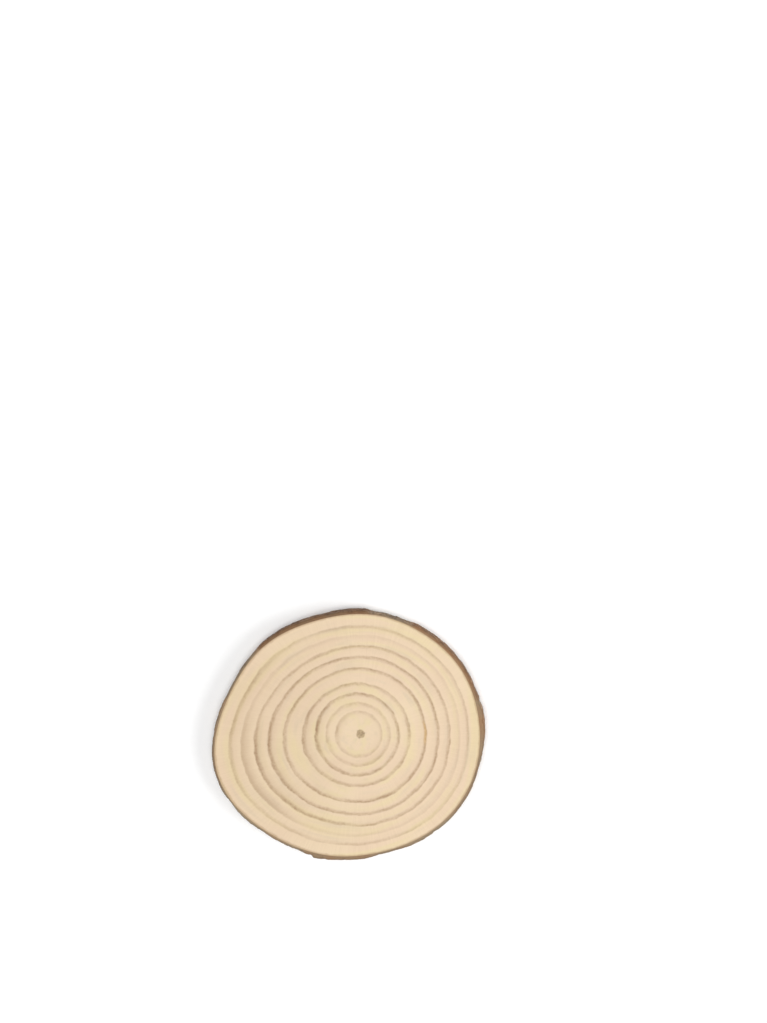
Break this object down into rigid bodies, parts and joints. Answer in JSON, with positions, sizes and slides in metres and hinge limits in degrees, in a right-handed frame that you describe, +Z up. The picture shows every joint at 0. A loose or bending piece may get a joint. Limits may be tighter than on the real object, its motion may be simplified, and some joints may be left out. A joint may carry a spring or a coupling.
{
  "type": "wood slice",
  "caption": "Thin flat slice sawn across a softwood stem, off-round, with growth rings, an off-centre pith and thin bark round its edge.",
  "frame": {"origin": "the pith on the sawn underside, where the slice rests; it lies off the middle of the outline, because the stem grew faster on the -X side", "axes": "+Z up along the stem, out of the top face; +X along the slice's longer way, from the pith towards the side with the narrow rings; +Y across the slice"},
  "size_m": [0.1019, 0.0945, 0.006],
  "materials": {
    "wood": "matte"
  },
  "bodies": {
    "root": {"wood_slice": "wood"}
  },
  "joints": []
}
